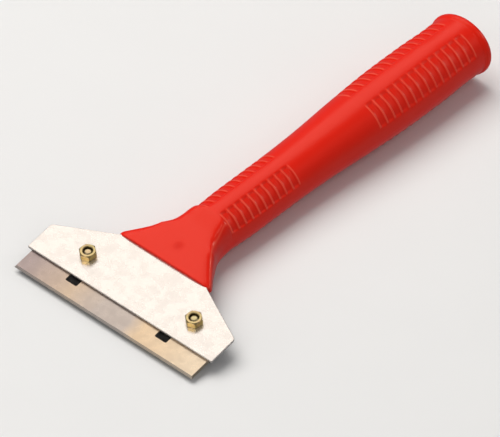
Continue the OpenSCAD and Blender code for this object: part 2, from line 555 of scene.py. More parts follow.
@dataclass(frozen=True)
class RedPlastic:
    """Glossy red moulded plastic with faint scuffs, painted shade in its hollows and painted highlights on
    its rib crests and creases.
    """

    name: str = "glossy_red_plastic"
    colour: tuple[float, float, float] = (0.78, 0.012, 0.003)
    shade: tuple[float, float, float] = (0.50, 0.007, 0.003)
    # Colour of the painted highlight on the rib crests and the paddle's creases.
    highlight_and_wear: tuple[float, float, float] = (0.92, 0.13, 0.08)
    gloss: float = 0.27

    def make(self, head: HeadFrame) -> bpy.types.Material:
        """Builds the material."""
        s = Shader(self.name)
        point = s.place()
        along = s.turned(point, head, (1.0, 0.12, 1.0))
        hollow = s.mark("hollow")
        cloud = s.noise(point, 0.03, 1).step(0.2, 0.8)
        scuff = s.noise(along, 1.6, 5, 0.7).step(0.60, 0.78) * s.noise(point, 0.09, 2).step(0.45, 0.7)
        specks = s.noise(point, 3.2, 2).step(0.68, 0.80)
        # Painted shade: the hollow mark darkens the rib pockets, the dimple and the plug seat toward the
        # shade colour; the cloud adds a random darker tone.
        body = s.mix(cloud * 0.06 + hollow * 0.06, self.colour, self.shade)
        # Painted highlight: the ridge mark lightens the rib crests and the paddle's creases toward the
        # highlight colour.
        rub_and_highlight = s.mark("ridge") * (0.45 + 0.25 * cloud)
        skin = s.noise(point, 1.1, 2)
        return s.surface(
            Base_Color=s.mix(specks * 0.04, s.mix(rub_and_highlight, body, self.highlight_and_wear), self.shade),
            Roughness=self.gloss + cloud * 0.03 + scuff * 0.05 + hollow * 0.06 + specks * 0.03,
            Normal=s.bump(skin, 0.2, 0.03),
            IOR=1.46,
            Specular_IOR_Level=0.42,
            Specular_Tint=(1.0, 0.80, 0.60),
            Coat_Weight=0.1,
            Coat_Roughness=0.15,
        )


@dataclass(frozen=True)
class SatinSteel:
    """Rolled stainless sheet with a fine satin grain and faint mottling."""

    name: str = "satin_stainless_steel"
    colour: tuple[float, float, float] = (0.90, 0.84, 0.80)
    dull: tuple[float, float, float] = (0.74, 0.69, 0.66)
    gloss: float = 0.17

    def make(self, head: HeadFrame) -> bpy.types.Material:
        """Builds the material."""
        s = Shader(self.name)
        point = s.place()
        grain = s.noise(s.turned(point, head, (0.10, 4.0, 4.0)), 2.2, 4, 0.65)
        mottle = s.noise(point, 0.22, 5, 0.62).step(0.34, 0.68)
        marks = s.noise(s.turned(point, head, (2.4, 0.16, 1.0)), 0.9, 3, 0.6).step(0.64, 0.74)
        rub_and_highlight = marks * s.noise(point, 0.07, 2).step(0.5, 0.7)
        tone = s.mix(mottle * 0.30 + rub_and_highlight * 0.25, self.colour, self.dull)
        return s.surface(
            Base_Color=s.mix(grain.step(0.55, 0.8) * 0.18, tone, self.dull),
            Metallic=0.8,
            Roughness=self.gloss + grain * 0.12 + mottle * 0.08 + rub_and_highlight * 0.08,
            Normal=s.bump(grain + mottle * 0.3, 0.22, 0.02),
        )


@dataclass(frozen=True)
class SpringSteel:
    """Polished blade steel, with a painted reflection of the room running across it from mauve at one end
    through straw and grey to peach at the other.
    """

    name: str = "polished_spring_steel"
    mauve: tuple[float, float, float] = (0.42, 0.34, 0.33)
    straw: tuple[float, float, float] = (0.62, 0.48, 0.36)
    grey: tuple[float, float, float] = (0.53, 0.46, 0.42)
    peach: tuple[float, float, float] = (0.75, 0.57, 0.39)
    pale: tuple[float, float, float] = (0.78, 0.64, 0.48)
    ground: tuple[float, float, float] = (0.88, 0.84, 0.78)
    bevel_blend: float = 0.1

    def make(self, head: HeadFrame) -> bpy.types.Material:
        """Builds the material."""
        s = Shader(self.name)
        point = s.place()
        flat = s.turned(point, head)
        u, v = flat.part("X"), flat.part("Y")
        wander = s.noise(point, 0.05, 2) * 18.0 - 9.0
        share = (u + wander) * (1 / Blade.width) + 0.5
        # Painted reflection of the room: the colour runs across the blade from mauve through straw and grey
        # to peach, along a wavy edge.
        stops = [
            (0.05, self.mauve), (0.28, self.straw), (0.44, self.grey), (0.58, self.grey),
            (0.68, self.peach), (0.96, self.pale),
        ]
        painted_reflection = s.node("ShaderNodeValToRGB", {"stops": stops}, {0: share}, "Color")
        lines = s.noise(s.turned(point, head, (5.0, 0.25, 1.0)), 1.6, 4, 0.7)
        cloud = s.noise(point, 0.3, 4).step(0.35, 0.7)
        ground_to = Blade.bevel - Blade.out
        bevel = 1 - v.step(ground_to - self.bevel_blend, ground_to + self.bevel_blend)
        tone = s.mix(cloud * 0.07 + lines.step(0.5, 0.8) * 0.08, painted_reflection, self.mauve)
        return s.surface(
            Base_Color=s.mix(bevel * 0.35, tone, self.ground),
            Metallic=1.0,
            Roughness=0.20 + lines * 0.14 + cloud * 0.06 + bevel * 0.12,
            Normal=s.bump(lines, 0.2, 0.01),
        )


@dataclass(frozen=True)
class BlackSteel:
    """Blackened steel, scuffed a little down to the metal on its high spots."""

    coat: Coat
    gloss: float
    colour: tuple[float, float, float] = (0.003, 0.003, 0.003)
    highlight_and_wear: tuple[float, float, float] = (0.045, 0.042, 0.04)

    def make(self, head: HeadFrame) -> bpy.types.Material:
        """Builds the material."""
        s = Shader(f"black_{self.coat.value}_steel")
        point = s.place()
        fine = s.noise(point, 2.6, 5, 0.7)
        patch = s.noise(point, 0.18, 4).step(0.45, 0.75)
        lines = s.noise(s.turned(point, head, (0.2, 3.0, 3.0)), 1.4, 3).step(0.62, 0.75)
        wear = patch * 0.4 + lines * 0.3
        return s.surface(
            Base_Color=s.mix(wear, self.colour, self.highlight_and_wear),
            Metallic=0.0,
            Specular_IOR_Level=0.12,
            Roughness=self.gloss + fine * 0.16 + patch * 0.08,
            Normal=s.bump(fine, 0.3, 0.02),
        )


@dataclass(frozen=True)
class YellowZinc:
    """Yellow passivated zinc plating, with its greenish and pinkish bloom."""

    name: str = "yellow_zinc_plating"
    colour: tuple[float, float, float] = (0.72, 0.52, 0.18)
    green: tuple[float, float, float] = (0.52, 0.54, 0.20)
    pink: tuple[float, float, float] = (0.78, 0.46, 0.28)
    # Bare zinc, also the colour of the painted highlights on edges and thread crests.
    bare_and_highlight: tuple[float, float, float] = (0.78, 0.72, 0.58)
    # Colour of the painted shade in threads, bores and countersinks.
    painted_shade: tuple[float, float, float] = (0.10, 0.07, 0.03)

    def make(self, head: HeadFrame) -> bpy.types.Material:
        """Builds the material."""
        s = Shader(self.name)
        point = s.place()
        bloom = s.noise(point, 0.45, 3)
        warm = s.mix(bloom.step(0.5, 0.68) * 0.45, self.colour, self.pink)
        cool = s.mix((1 - bloom.step(0.34, 0.5)) * 0.4, warm, self.green)
        fine = s.noise(point, 3.5, 4, 0.7)
        # Worn bare at random, and painted highlights where the ridge mark lies on edges and crests.
        wear_and_highlight = s.mix(s.mark("ridge") * 0.35 + fine.step(0.66, 0.8) * 0.3, cool, self.bare_and_highlight)
        return s.surface(
            # Painted shade: the hollow mark darkens the threads, the nut's bore and its countersinks.
            Base_Color=s.mix(s.mark("hollow"), wear_and_highlight, self.painted_shade),
            Metallic=1.0,
            Roughness=0.24 + fine * 0.16 + s.mark("hollow") * 0.3,
            Normal=s.bump(fine, 0.3, 0.015),
        )


@dataclass(frozen=True)
class PaleFloor:
    """Plain pale studio floor."""

    name: str = "pale_floor"
    colour: tuple[float, float, float] = (0.80, 0.82, 0.85)

    def make(self) -> bpy.types.Material:
        """Builds the material."""
        s = Shader(self.name)
        grain = s.noise(s.place(), 0.02, 3)
        lighter = tuple(c + 0.02 for c in self.colour)
        return s.surface(Base_Color=s.mix(grain, self.colour, lighter), Roughness=0.75)


# ---------------------------------------------------------------- handle


@dataclass(frozen=True)
class Rings:
    """Sizes of the moulding's rings, as arrays with a number for each ring."""

    s: np.ndarray
    shrink: np.ndarray
    width: np.ndarray
    tall: np.ndarray
    deep: np.ndarray
    crease: np.ndarray
    square: np.ndarray
    square_low: np.ndarray
    lean: np.ndarray


@dataclass
class Handle:
    """The red moulding: a flat paddle over the head plate that runs into a bent ribbed grip."""

    line: GripLine = field(default_factory=GripLine)
    lip: float = 1.6
    facet_start: float = 53.0
    facet_slope: float = 0.117
    crest: float = 30.4
    crest_radius: float = 13.6
    crease_blend: float = 0.7
    crease_most: float = 0.985
    flat_end: float = 36.0
    lean_start: float = 10.0
    lean_run: float = 20.0
    full_from: float = -0.4
    front_round: float = 0.7
    rib_depth: float = 0.55
    rib_half: float = 0.42
    rib_wall: float = 0.55
    rib_zones: tuple[tuple[float, float, int], ...] = ((31.2, 4.5, 10), (129.0, 4.8, 14))
    panel: tuple[float, float] = (13.0, 67.0)
    panel_blend: tuple[float, float] = (8.0, 4.0)
    dimple: tuple[float, float, float, float] = (0.8, 38.7, 2.2, 0.22)
    end_round: float = 2.6
    plug_radius: float = 9.9
    plug_depth: float = 2.5
    bore_radius: float = 8.5
    bore_start: float = 80.0
    counts: tuple[int, int, int] = (84, 24, 104)

    # distance along the axis, half width, height above the axis, depth below it, squareness below
    sections: tuple[tuple[float, ...], ...] = (
        (-1.1, 23.9, 4.3, 0.0, 9),
        (-0.3, 25.1, 4.5, 0.1, 9),
        (0.8, 25.2, 4.7, 0.3, 8.5),
        (3.2, 23.8, 5.1, 0.8, 8),
        (8.4, 20.0, 6.1, 2.9, 7),
        (13.5, 16.6, 7.1, 5.4, 6),
        (18.6, 13.7, 8.1, 7.5, 4.6),
        (23.7, 12.2, 9.6, 9.1, 3.4),
        (28.8, 11.9, 11.2, 10.1, 2.5),
        (34, 12.3, 11.6, 10.85, 2),
        (50, 12.9, 11.6, 11.4, 2),
        (75, 12.9, 11.5, 11.4, 2),
        (100, 13.5, 12.0, 12.0, 2),
        (125, 15.0, 13.2, 13.2, 2),
        (150, 16.1, 14.2, 14.2, 2),
        (175, 16.2, 14.3, 14.3, 2),
        (192, 15.7, 13.9, 13.9, 2),
        (201.6, 15.7, 13.9, 13.9, 2),
        (202.8, 16.45, 14.45, 14.45, 2),
        (206.5, 16.5, 14.5, 14.5, 2),
    )
    # distance along the axis, half width between the creases, squareness of the sides
    creases: tuple[tuple[float, float, float], ...] = (
        (-1.1, 23.5, 4.6),
        (-0.3, 24.7, 4.6),
        (0.8, 24.7, 4.5),
        (4.6, 21.9, 4.4),
        (8.4, 18.9, 4.2),
        (12.1, 15.9, 3.8),
        (16.2, 13.1, 3.4),
        (20.6, 11.1, 3.1),
        (24.3, 9.9, 2.9),
        (27.2, 8.9, 2.7),
        (30.4, 8.4, 2.3),
        (34.0, 8.9, 2.0),
    )

    def table(self, s: np.ndarray, rows: tuple[tuple[float, ...], ...], column: int) -> np.ndarray:
        """A column of a table at distances s, on a smooth curve through its rows.

        Args:
            s: Distances along the axis.
            rows: The table, whose first column is the distance.
            column: Which column.

        Returns:
            A value for each distance.
        """
        at = np.array([r[0] for r in rows], float)
        value = np.array([r[column] for r in rows], float)
        slope = np.diff(value) / np.diff(at)
        tangent = np.concatenate([slope[:1], (slope[1:] + slope[:-1]) / 2, slope[-1:]])
        tangent[1:-1][slope[1:] * slope[:-1] <= 0] = 0.0
        k = np.clip(np.searchsorted(at, s, side="right") - 1, 0, len(at) - 2)
        span = at[k + 1] - at[k]
        t = np.clip((s - at[k]) / span, 0, 1)
        start, end = tangent[k] * span, tangent[k + 1] * span
        return (
            value[k] * (2 * t**3 - 3 * t**2 + 1)
            + start * (t**3 - 2 * t**2 + t)
            + value[k + 1] * (3 * t**2 - 2 * t**3)
            + end * (t**3 - t**2)
        )

    def stations(self) -> np.ndarray:
        """Distances along the axis at which the moulding has a ring, closer at the ribs."""
        marks = [np.linspace(self.full_from, self.rib_zones[0][0] - 2, 74)]
        within = (-0.62, -0.42, -0.2, 0.0, 0.2, 0.42, 0.6, 0.8, 1.0)
        for start, pitch, count in self.rib_zones:
            for k in range(count + 1):
                centre = start + k * pitch
                marks.append(np.array([centre + w for w in within]))
                marks.append(centre + np.array([-0.8, -1.0, pitch * 0.36, pitch * 0.5, pitch * 0.64]))
        marks.append(np.linspace(78.6, 126.8, 30))
        marks.append(np.linspace(198.2, self.line.length - self.end_round, 12))
        every = np.sort(np.concatenate(marks))
        keep = np.concatenate([[True], np.diff(every) > 0.1])
        return every[keep]

    def ribs(self, s: np.ndarray, turn: np.ndarray) -> tuple[np.ndarray, np.ndarray]:
        """Which points lie in a pocket between two ribs, and which on the crest of a rib.

        Args:
            s: Distances along the axis.
            turn: Angles from the top of the grip, in degrees.

        Returns:
            The share of the pocket's depth, and the nearness to a crest, from 0 to 1.
        """
        pocket = np.zeros(np.broadcast_shapes(s.shape, turn.shape))
        crest = pocket.copy()
        for start, pitch, count in self.rib_zones:
            inside = (s > start) & (s < start + pitch * count)
            off = np.abs((s - start + pitch / 2) % pitch - pitch / 2)
            deep = smooth((off - self.rib_half) / self.rib_wall)
            pocket = np.maximum(pocket, np.where(inside, deep, 0.0))
            whole = (s > start - 0.8) & (s < start + pitch * count + 0.8)
            crest = np.maximum(crest, np.where(whole, smooth(1.25 - off / 0.5), 0.0))
        low, high = self.panel
        aside = np.minimum(np.abs(turn), 180 - np.abs(turn))
        start, end = self.panel_blend
        across = smooth((aside - low) / start) * smooth((high - aside) / end)
        return pocket * across, crest * across

    def measure(self, s: np.ndarray, shrink: np.ndarray) -> Rings:
        """Sizes of rings, looked up in the two tables.

        Args:
            s: Distance along the axis at which each ring's section is taken.
            shrink: How much smaller each ring is than its section.

        Returns:
            The sizes.
        """
        wide, tall, deep, square_low = (self.table(s, self.sections, k) for k in range(1, 5))
        crease, square = (self.table(s, self.creases, k) for k in (1, 2))
        width = wide - shrink
        crease = np.minimum(crease - shrink, width * self.crease_most)
        lean = self.line.bend * smooth((s - self.lean_start) / self.lean_run)
        return Rings(s, shrink, width, tall, deep, crease, square, square_low, lean)

    def heights(self, r: Rings) -> tuple[np.ndarray, np.ndarray]:
        """How high each ring's round top stands, and the flat that cuts it off.

        Args:
            r: The rings.

        Returns:
            Both heights above the axis.
        """
        reach = np.clip(self.crest - r.s, 0, self.crest_radius)
        arc = np.sqrt(np.maximum(2 * self.crest_radius * reach - reach**2, 0))
        clipped = np.minimum(r.crease, np.maximum(arc, 0.0)) / r.width
        level_v = self.line.start_v + r.s * math.cos(self.line.bend) + r.tall * np.sin(r.lean)
        axis_n = self.line.start_n - r.s * math.sin(self.line.bend)
        plane = (self.level(level_v) - axis_n) / np.cos(r.lean)
        lifted = plane / np.maximum(1 - clipped**r.square, 0.05) ** (1 / r.square)
        most = r.tall * (1.6 - 0.48 * smooth((r.s - 8) / 14))
        return np.where(r.s < self.crest, np.clip(lifted, r.tall, most), r.tall), plane

    def top(self, r: Rings) -> tuple[np.ndarray, np.ndarray]:
        """The upper half of each ring: a flat between two creases, with a round side beyond each.

        Args:
            r: The rings.

        Returns:
            Distances across and up from the axis.
        """
        flat, side, _ = self.counts
        high, plane = (h[:, None] for h in self.heights(r))
        width, crease, square = r.width[:, None], r.crease[:, None], r.square[:, None]
        spread = np.radians(80 - 34 * smooth((r.s - 18) / 14))[:, None]
        t = np.linspace(1, -1, flat + 1)[None, :]
        x_flat = crease * np.sin(spread * t) / np.sin(spread)
        power = 2 / square
        start = np.arccos(np.clip(crease / width, 0, 1) ** (1 / power))
        turn = start * np.linspace(0, 1, side + 1)[None, :-1]
        x_side = width * np.cos(turn) ** power
        x = np.concatenate([x_side, x_flat, -x_side[:, ::-1]], axis=1)
        share = np.clip(np.abs(x) / width, 0, 1)
        z = high * np.maximum(1 - share**square, 0) ** (1 / square)
        cut = soft_min(z, np.broadcast_to(plane, z.shape), self.crease_blend)
        z = np.where((r.s < self.flat_end)[:, None], cut, z)
        return x, z - r.shrink[:, None] * np.where(z > 0.5, 1, 0)

    def under(self, r: Rings) -> tuple[np.ndarray, np.ndarray]:
        """The lower half of each ring.

        Args:
            r: The rings.

        Returns:
            Distances across and up from the axis.
        """
        angle = math.pi * np.linspace(0, 1, self.counts[2] + 2)[None, 1:-1]
        power = (2 / r.square_low)[:, None]
        x = -r.width[:, None] * np.sign(np.cos(angle)) * np.abs(np.cos(angle)) ** power
        return x, -np.maximum(r.deep - r.shrink, -0.4)[:, None] * np.sin(angle) ** power

    def ring(self, s: np.ndarray, shrink: np.ndarray, at: np.ndarray) -> tuple[np.ndarray, np.ndarray]:
        """Rings of the moulding.

        Args:
            s: Distance along the axis at which each ring's section is taken.
            shrink: How much smaller each ring is than its section.
            at: Distance along the axis at which each ring is put.

        Returns:
            The rings, and two marks for each of their points: in a hollow, painted darker as shade, and on a
            rib's crest or along the paddle's creases, painted lighter as a highlight.
        """
        r = self.measure(s, shrink)
        x, z = (np.concatenate(halves, axis=1) for halves in zip(self.top(r), self.under(r)))
        turned = np.degrees(np.arctan2(x / r.width[:, None], z / np.maximum(r.tall, 1)[:, None]))
        pocket, crest = self.ribs(s[:, None], turned)
        # Painted highlight along the paddle's creases, carried in the crest mark.
        edge = np.exp(-(((np.abs(x) - r.crease[:, None]) / 0.4) ** 2)) * (z > 1) * (s < 31)[:, None]
        crest = np.maximum(crest, 0.55 * edge)
        size = np.hypot(x, z)
        x, z = x * (1 - self.rib_depth * pocket / size), z * (1 - self.rib_depth * pocket / size)
        points = self.line.points(at[:, None], x, z, r.lean[:, None])
        u, v, radius, depth = self.dimple
        near = np.exp(-(((points[..., 0] - u) ** 2 + (points[..., 1] - v) ** 2) / radius**2) ** 1.5)
        points[..., 2] -= depth * near * (z > 0)
        # Painted shade: the dimple is marked as a deep hollow, so the finish paints a dark spot there.
        return points, np.stack([np.maximum(pocket, near * (z > 0) * 4.0), crest])

    def level(self, v: np.ndarray) -> np.ndarray:
        """Height of the paddle's flat top and of the facet behind it.

        Args:
            v: Distances back from the plate's front edge.

        Returns:
            Heights above the head plate.
        """
        past = v - self.facet_start
        return self.lip + self.facet_slope * 0.5 * (past + np.sqrt(past**2 + 0.4))

    def shape(self) -> Shape:
        """The moulding with its lip, ribs, rounded end, plug seat and bore."""
        lip_turns = np.linspace(0, math.pi / 2, 5)[-2::-1]
        end_turns = np.linspace(0, math.pi / 2, 9)[1:]
        body = self.stations()
        body = body[body > self.full_from]
        lip, tail = len(lip_turns), len(end_turns)
        end = self.line.length - self.end_round
        s = np.concatenate([np.full(lip, self.full_from), body, np.full(tail, end)])
        lip_at = self.full_from - self.front_round * np.sin(lip_turns)
        at = np.concatenate([lip_at, body, end + self.end_round * np.sin(end_turns)])
        lip_in = self.front_round * (1 - np.cos(lip_turns))
        rings, marks = self.ring(s, np.concatenate([lip_in, np.zeros(len(body) + tail)]), at)
        for ring, turn in zip(rings[-tail:], end_turns):
            back = self.end_round * (1 - math.cos(turn))
            middle = ring.mean(axis=0)
            away = ring - middle
            ring[:] = middle + away * (1 - back / np.linalg.norm(away, axis=1, keepdims=True))
        seat, seat_hollow = self.seat(rings[-1])
        made = Shape()
        made.loft(
            np.concatenate([rings, seat]),
            hollow=np.concatenate([marks[0], seat_hollow]),
            ridge=np.concatenate([marks[1], np.zeros_like(seat_hollow)]),
        )
        return made

    def seat(self, rim: np.ndarray) -> tuple[np.ndarray, np.ndarray]:
        """The seat of the end plug and the bore behind it, as rings that follow the outer rim.

        Args:
            rim: The last outer ring.

        Returns:
            The rings, and how deep in a hollow their points lie.
        """
        line = self.line
        centre = line.points(
            np.array(line.length), np.array(0.0), np.array(0.0), np.array(line.bend)
        ).reshape(3)
        away = rim - centre
        angle = np.arctan2(
            away[:, 1] * math.sin(line.bend) + away[:, 2] * math.cos(line.bend), away[:, 0]
        )
        seat_s = line.length - self.plug_depth
        # The third number of each step is its hollow mark: the plug seat and the bore are painted darker, as
        # painted shade.
        steps = (
            (line.length, self.plug_radius + 0.35, 0.0),
            (line.length - 0.12, self.plug_radius + 0.1, 0.3),
            (line.length - 0.4, self.plug_radius + 0.02, 0.8),
            (seat_s, self.plug_radius + 0.02, 1.0),
            (seat_s, self.bore_radius, 1.0),
            (self.bore_start, self.bore_radius, 1.0),
        )
        rings = [
            line.points(
                np.full(len(rim), s),
                radius * np.cos(angle),
                radius * np.sin(angle),
                np.full(len(rim), line.bend),
            )
            for s, radius, _ in steps
        ]
        marks = [np.full(len(rim), mark) for _, _, mark in steps]
        return np.stack(rings), np.stack(marks)

    def build(self, shop: Workshop, finish: bpy.types.Material) -> None:
        """Makes the handle piece."""
        shop.piece(
            "red_handle", self.shape(), finish, "tool", "handle", weighted=False
        )


@dataclass
class EndPlug:
    """The cap pressed into the end of the hollow grip."""

    line: GripLine = field(default_factory=GripLine)
    radius: float = 9.84
    thick: float = 2.5
    spigot_radius: float = 8.45
    spigot_wall: float = 1.6
    spigot_length: float = 10.0
    around: int = 96
    # distance in from the end, and in from the rim: the softened rim and the step inside it
    rim: tuple[tuple[float, float], ...] = (
        (0.6, 0.0), (0.32, 0.08), (0.1, 0.3), (0.03, 0.6), (0.03, 1.5), (0.12, 1.8), (0.42, 2.3), (0.5, 2.8),
    )
    # distance in from the end, and radius: the dish in the middle of the face
    dish: tuple[tuple[float, float], ...] = ((0.5, 1.9), (0.62, 1.6), (0.9, 1.1), (1.0, 0.5))

    def shape(self) -> Shape:
        """A disc with a softened rim and a dished face, and the tube behind it."""
        end = self.line.length
        inner = self.spigot_radius - self.spigot_wall
        low = end - self.thick - self.spigot_length
        profile = [
            (low, inner), (low, self.spigot_radius - 0.5), (low + 0.5, self.spigot_radius),
            (end - self.thick, self.spigot_radius), (end - self.thick, self.radius),
        ]
        profile += [(end - inward, self.radius - off) for inward, off in self.rim]
        profile += [(end - inward, radius) for inward, radius in self.dish]
        turns = np.linspace(0, 2 * math.pi, self.around, endpoint=False)
        made = Shape()
        lean = np.full(self.around, self.line.bend)

        def ring(s: float, radius: float) -> np.ndarray:
            """One ring of the plug."""
            at = np.full(self.around, s)
            return self.line.points(at, radius * np.cos(turns), radius * np.sin(turns), lean)

        inside = [(end - self.thick, 0.5), (end - self.thick, inner - 0.4), (end - self.thick - 0.4, inner)]
        rings = np.stack([ring(s, r) for s, r in inside + profile])
        # Painted shade: the inside of the plug, its spigot and the back of its disc, hidden in the grip, are
        # painted darker by their hollow marks.
        hollow = np.array([0.6] * 4 + [0.3] * 3 + [0.8] * 2 + [0.4] + [0.0] * (len(rings) - 10))
        made.loft(rings, hollow=np.repeat(hollow[:, None], self.around, axis=1))
        return made

    def build(self, shop: Workshop, finish: bpy.types.Material) -> None:
        """Makes the plug piece."""
        shop.piece(
            "grip_end_plug", self.shape(), finish, "tool", "end_plug", weighted=False
        )


# ---------------------------------------------------------------- head


@dataclass
class HeadPlate:
    """The tapered steel plate with its clamp holes and the bent tang inside the handle."""

    width: float = 103.6
    thick: float = 1.2
    side: float = 15.4
    reach: float = 28.9
    neck: float = 49.8
    corner: float = 2.0
    tang_width: float = 18.0
    tang_bend_at: float = 40.0
    tang_length: float = 36.0
    bend: float = GripLine.bend
    hole: float = 2.15

    def outline(self) -> Loop:
        """The outline, anticlockwise from the front left."""
        taper = math.atan2(self.reach - self.side, (self.width - self.neck) / 2)
        turn = math.pi / 2 - taper
        back = self.corner * math.tan(turn / 2)
        half = [(self.width / 2 - 0.5, 0.0), (self.width / 2 - 0.15, 0.15), (self.width / 2, 0.5)]
        for k in range(7):
            a = turn * k / 6
            u = self.width / 2 - self.corner * (1 - math.cos(a))
            half.append((u, self.side - back + self.corner * math.sin(a)))
        half += [(self.neck / 2, self.reach), (self.neck / 2 - 7, self.reach + 5)]
        half += [(self.tang_width / 2, self.reach + 5), (self.tang_width / 2, self.tang_bend_at)]
        return half + [(-u, v) for u, v in half[::-1]]

    def tang(self, points: np.ndarray) -> np.ndarray:
        """Bends flat tang points down behind the bend line."""
        out = points.copy()
        run, rise = points[:, 1] - self.tang_bend_at, points[:, 2] + self.thick
        out[:, 1] = self.tang_bend_at + run * math.cos(self.bend) + rise * math.sin(self.bend)
        out[:, 2] = -self.thick - run * math.sin(self.bend) + rise * math.cos(self.bend)
        return out

    def build(self, shop: Workshop, finish: bpy.types.Material) -> None:
        """Makes the plate piece."""
        holes = [circle(SCREWS.u(side), SCREWS.v, self.hole) for side in Side]
        made = Shape()
        made.slab(self.outline(), -self.thick, 0.0, holes, edge=0.3, steps=4)
        start, half = self.tang_bend_at, self.tang_width / 2
        tongue = rounded_box((-half, start - 0.5), (half, start + self.tang_length), 1.5)
        slots = [circle(0, start + step, 2.5, 32) for step in (9.0, 26.0)]
        made.slab(tongue, -self.thick, 0.0, slots, bend=self.tang)
        shop.piece("steel_head_plate", made, finish, "tool", "head_plate")


@dataclass
class Blade:
    """The ground cross blade, with a notch open to its back at each side."""

    out: float = 10.9
    low: float = -2.25
    width: float = 100.0
    deep: float = 19.5
    thick: float = 1.0
    bevel: float = 0.8
    end_bevel: float = 0.55
    notch_width: float = 6.4
    notch_front: float = -3.4
    notch_round: float = 0.7

    def outline(self) -> Loop:
        """The outline, anticlockwise from the front left."""
        half, back = self.width / 2, self.deep - self.out
        r, front = self.notch_round, self.notch_front
        turns = [math.pi / 8 * k for k in range(5)]
        points: Loop = [(-half, -self.out), (half, -self.out), (half, back)]
        for side in (Side.RIGHT, Side.LEFT):
            low, high = (LUGS.u(side) + end * self.notch_width / 2 for end in (-1, 1))
            points.append((high, back))
            points += [(high - r * (1 - math.cos(t)), front + r * (1 - math.sin(t))) for t in turns]
            points += [(low + r * (1 - math.sin(t)), front + r * (1 - math.cos(t))) for t in turns]
            points.append((low, back))
        points.append((-half, back))
        return points

    def grind(self, points: np.ndarray) -> np.ndarray:
        """Grinds the cutting bevel and the two small end bevels into the upper side."""
        out = points.copy()
        rise = np.clip((points[:, 2] - self.low) / self.thick, 0, 1)
        front = points[:, 1] < -self.out + 0.5
        out[:, 1] += np.where(front, self.bevel * rise, 0)
        ends = np.abs(points[:, 0]) > self.width / 2 - 0.3
        out[:, 0] -= np.where(ends, np.sign(points[:, 0]) * self.end_bevel * rise, 0)
        return out

    def build(self, shop: Workshop, finish: bpy.types.Material) -> None:
        """Makes the blade piece."""
        made = Shape()
        made.slab(
            self.outline(), self.low, self.low + self.thick, edge=0.05, steps=2, bend=self.grind
        )
        shop.piece("notched_blade", made, finish, "blade", "blade")


@dataclass
class ClampBar:
    """The black bar under the blade, with the heel that meets the plate."""

    low: float = -3.9
    thick: float = 1.6
    half: float = 49.5
    front: float = 1.2
    side: float = 15.55
    back: float = 24.0
    back_half: float = 32.67
    heel_front: float = 19.5
    heel_top: float = -1.25
    neck: float = 2.05
    peg_radius: float = 1.55

    def build(self, shop: Workshop, finish: bpy.types.Material) -> None:
        """Makes the bar piece."""
        outline = [
            (self.half, self.front), (self.half, self.side), (self.back_half, self.back),
            (-self.back_half, self.back), (-self.half, self.side), (-self.half, self.front),
        ]
        n, v = self.neck, SCREWS.v
        holes = []
        for side in Side:
            u = SCREWS.u(side)
            holes.append(rounded_box((u - n, v - n), (u + n, v + n), 0.15, 2))
            holes.append(circle(LUGS.u(side), LUGS.v, self.peg_radius, 32))
        made = Shape()
        made.slab(outline, self.low, self.low + self.thick, holes, edge=0.3, steps=4)
        heel = rounded_box(
            (-self.back_half + 0.05, self.heel_front), (self.back_half - 0.05, self.back - 0.05), 0.4
        )
        made.slab(heel, self.low + 0.4, self.heel_top, edge=0.25)
        shop.piece("clamp_bar_black", made, finish, "clamp", "clamp_bar")


@dataclass
class Lug:
    """A black lug that sits in a blade notch, with the peg riveted into the bar."""

    side: Side
    width: float = 6.0
    front: float = -3.25
    back: float = 5.0
    low: float = -2.3
    high: float = -1.5
    peg_radius: float = 1.5
    peg_low: float = -3.9

    def build(self, shop: Workshop, finish: bpy.types.Material) -> None:
        """Makes the lug piece."""
        u = LUGS.u(self.side)
        made = Shape()
        body = rounded_box((u - self.width / 2, self.front), (u + self.width / 2, self.back), 0.6)
        made.slab(body, self.low, self.high, edge=0.14)
        made.slab(circle(u, LUGS.v, self.peg_radius, 32), self.peg_low, self.low + 0.1, edge=0.15)
        name = self.side.name.lower()
        shop.piece(f"blade_lug_{name}", made, finish, "clamp", f"lug_{name}")


@dataclass
class Fastener:
    """Sizes that a clamp screw shares with its nut."""

    side: Side
    pitch: float = 0.7
    around: int = 96

    def rings(self, radius: np.ndarray, height: np.ndarray) -> np.ndarray:
        """Rings about the fastener's axis.

        Args:
            radius: Radius at each ring and angle.
            height: Height at each ring and angle.

        Returns:
            Head points.
        """
        radius, height, turn = np.broadcast_arrays(radius, height, self.turns()[None, :])
        u, v = SCREWS.u(self.side), SCREWS.v
        return np.stack([u + radius * np.cos(turn), v + radius * np.sin(turn), height], axis=-1)

    def turns(self) -> np.ndarray:
        """The angles round a ring."""
        return np.linspace(0, 2 * math.pi, self.around, endpoint=False)

    def thread(self, height: np.ndarray) -> np.ndarray:
        """Depth of a right-hand thread's groove at each height and angle, from 0 to 1."""
        phase = (height[:, None] / self.pitch - self.turns()[None, :] / (2 * math.pi)) % 1.0
        return smooth(1.25 * (1 - np.abs(2 * phase - 1)) - 0.1)


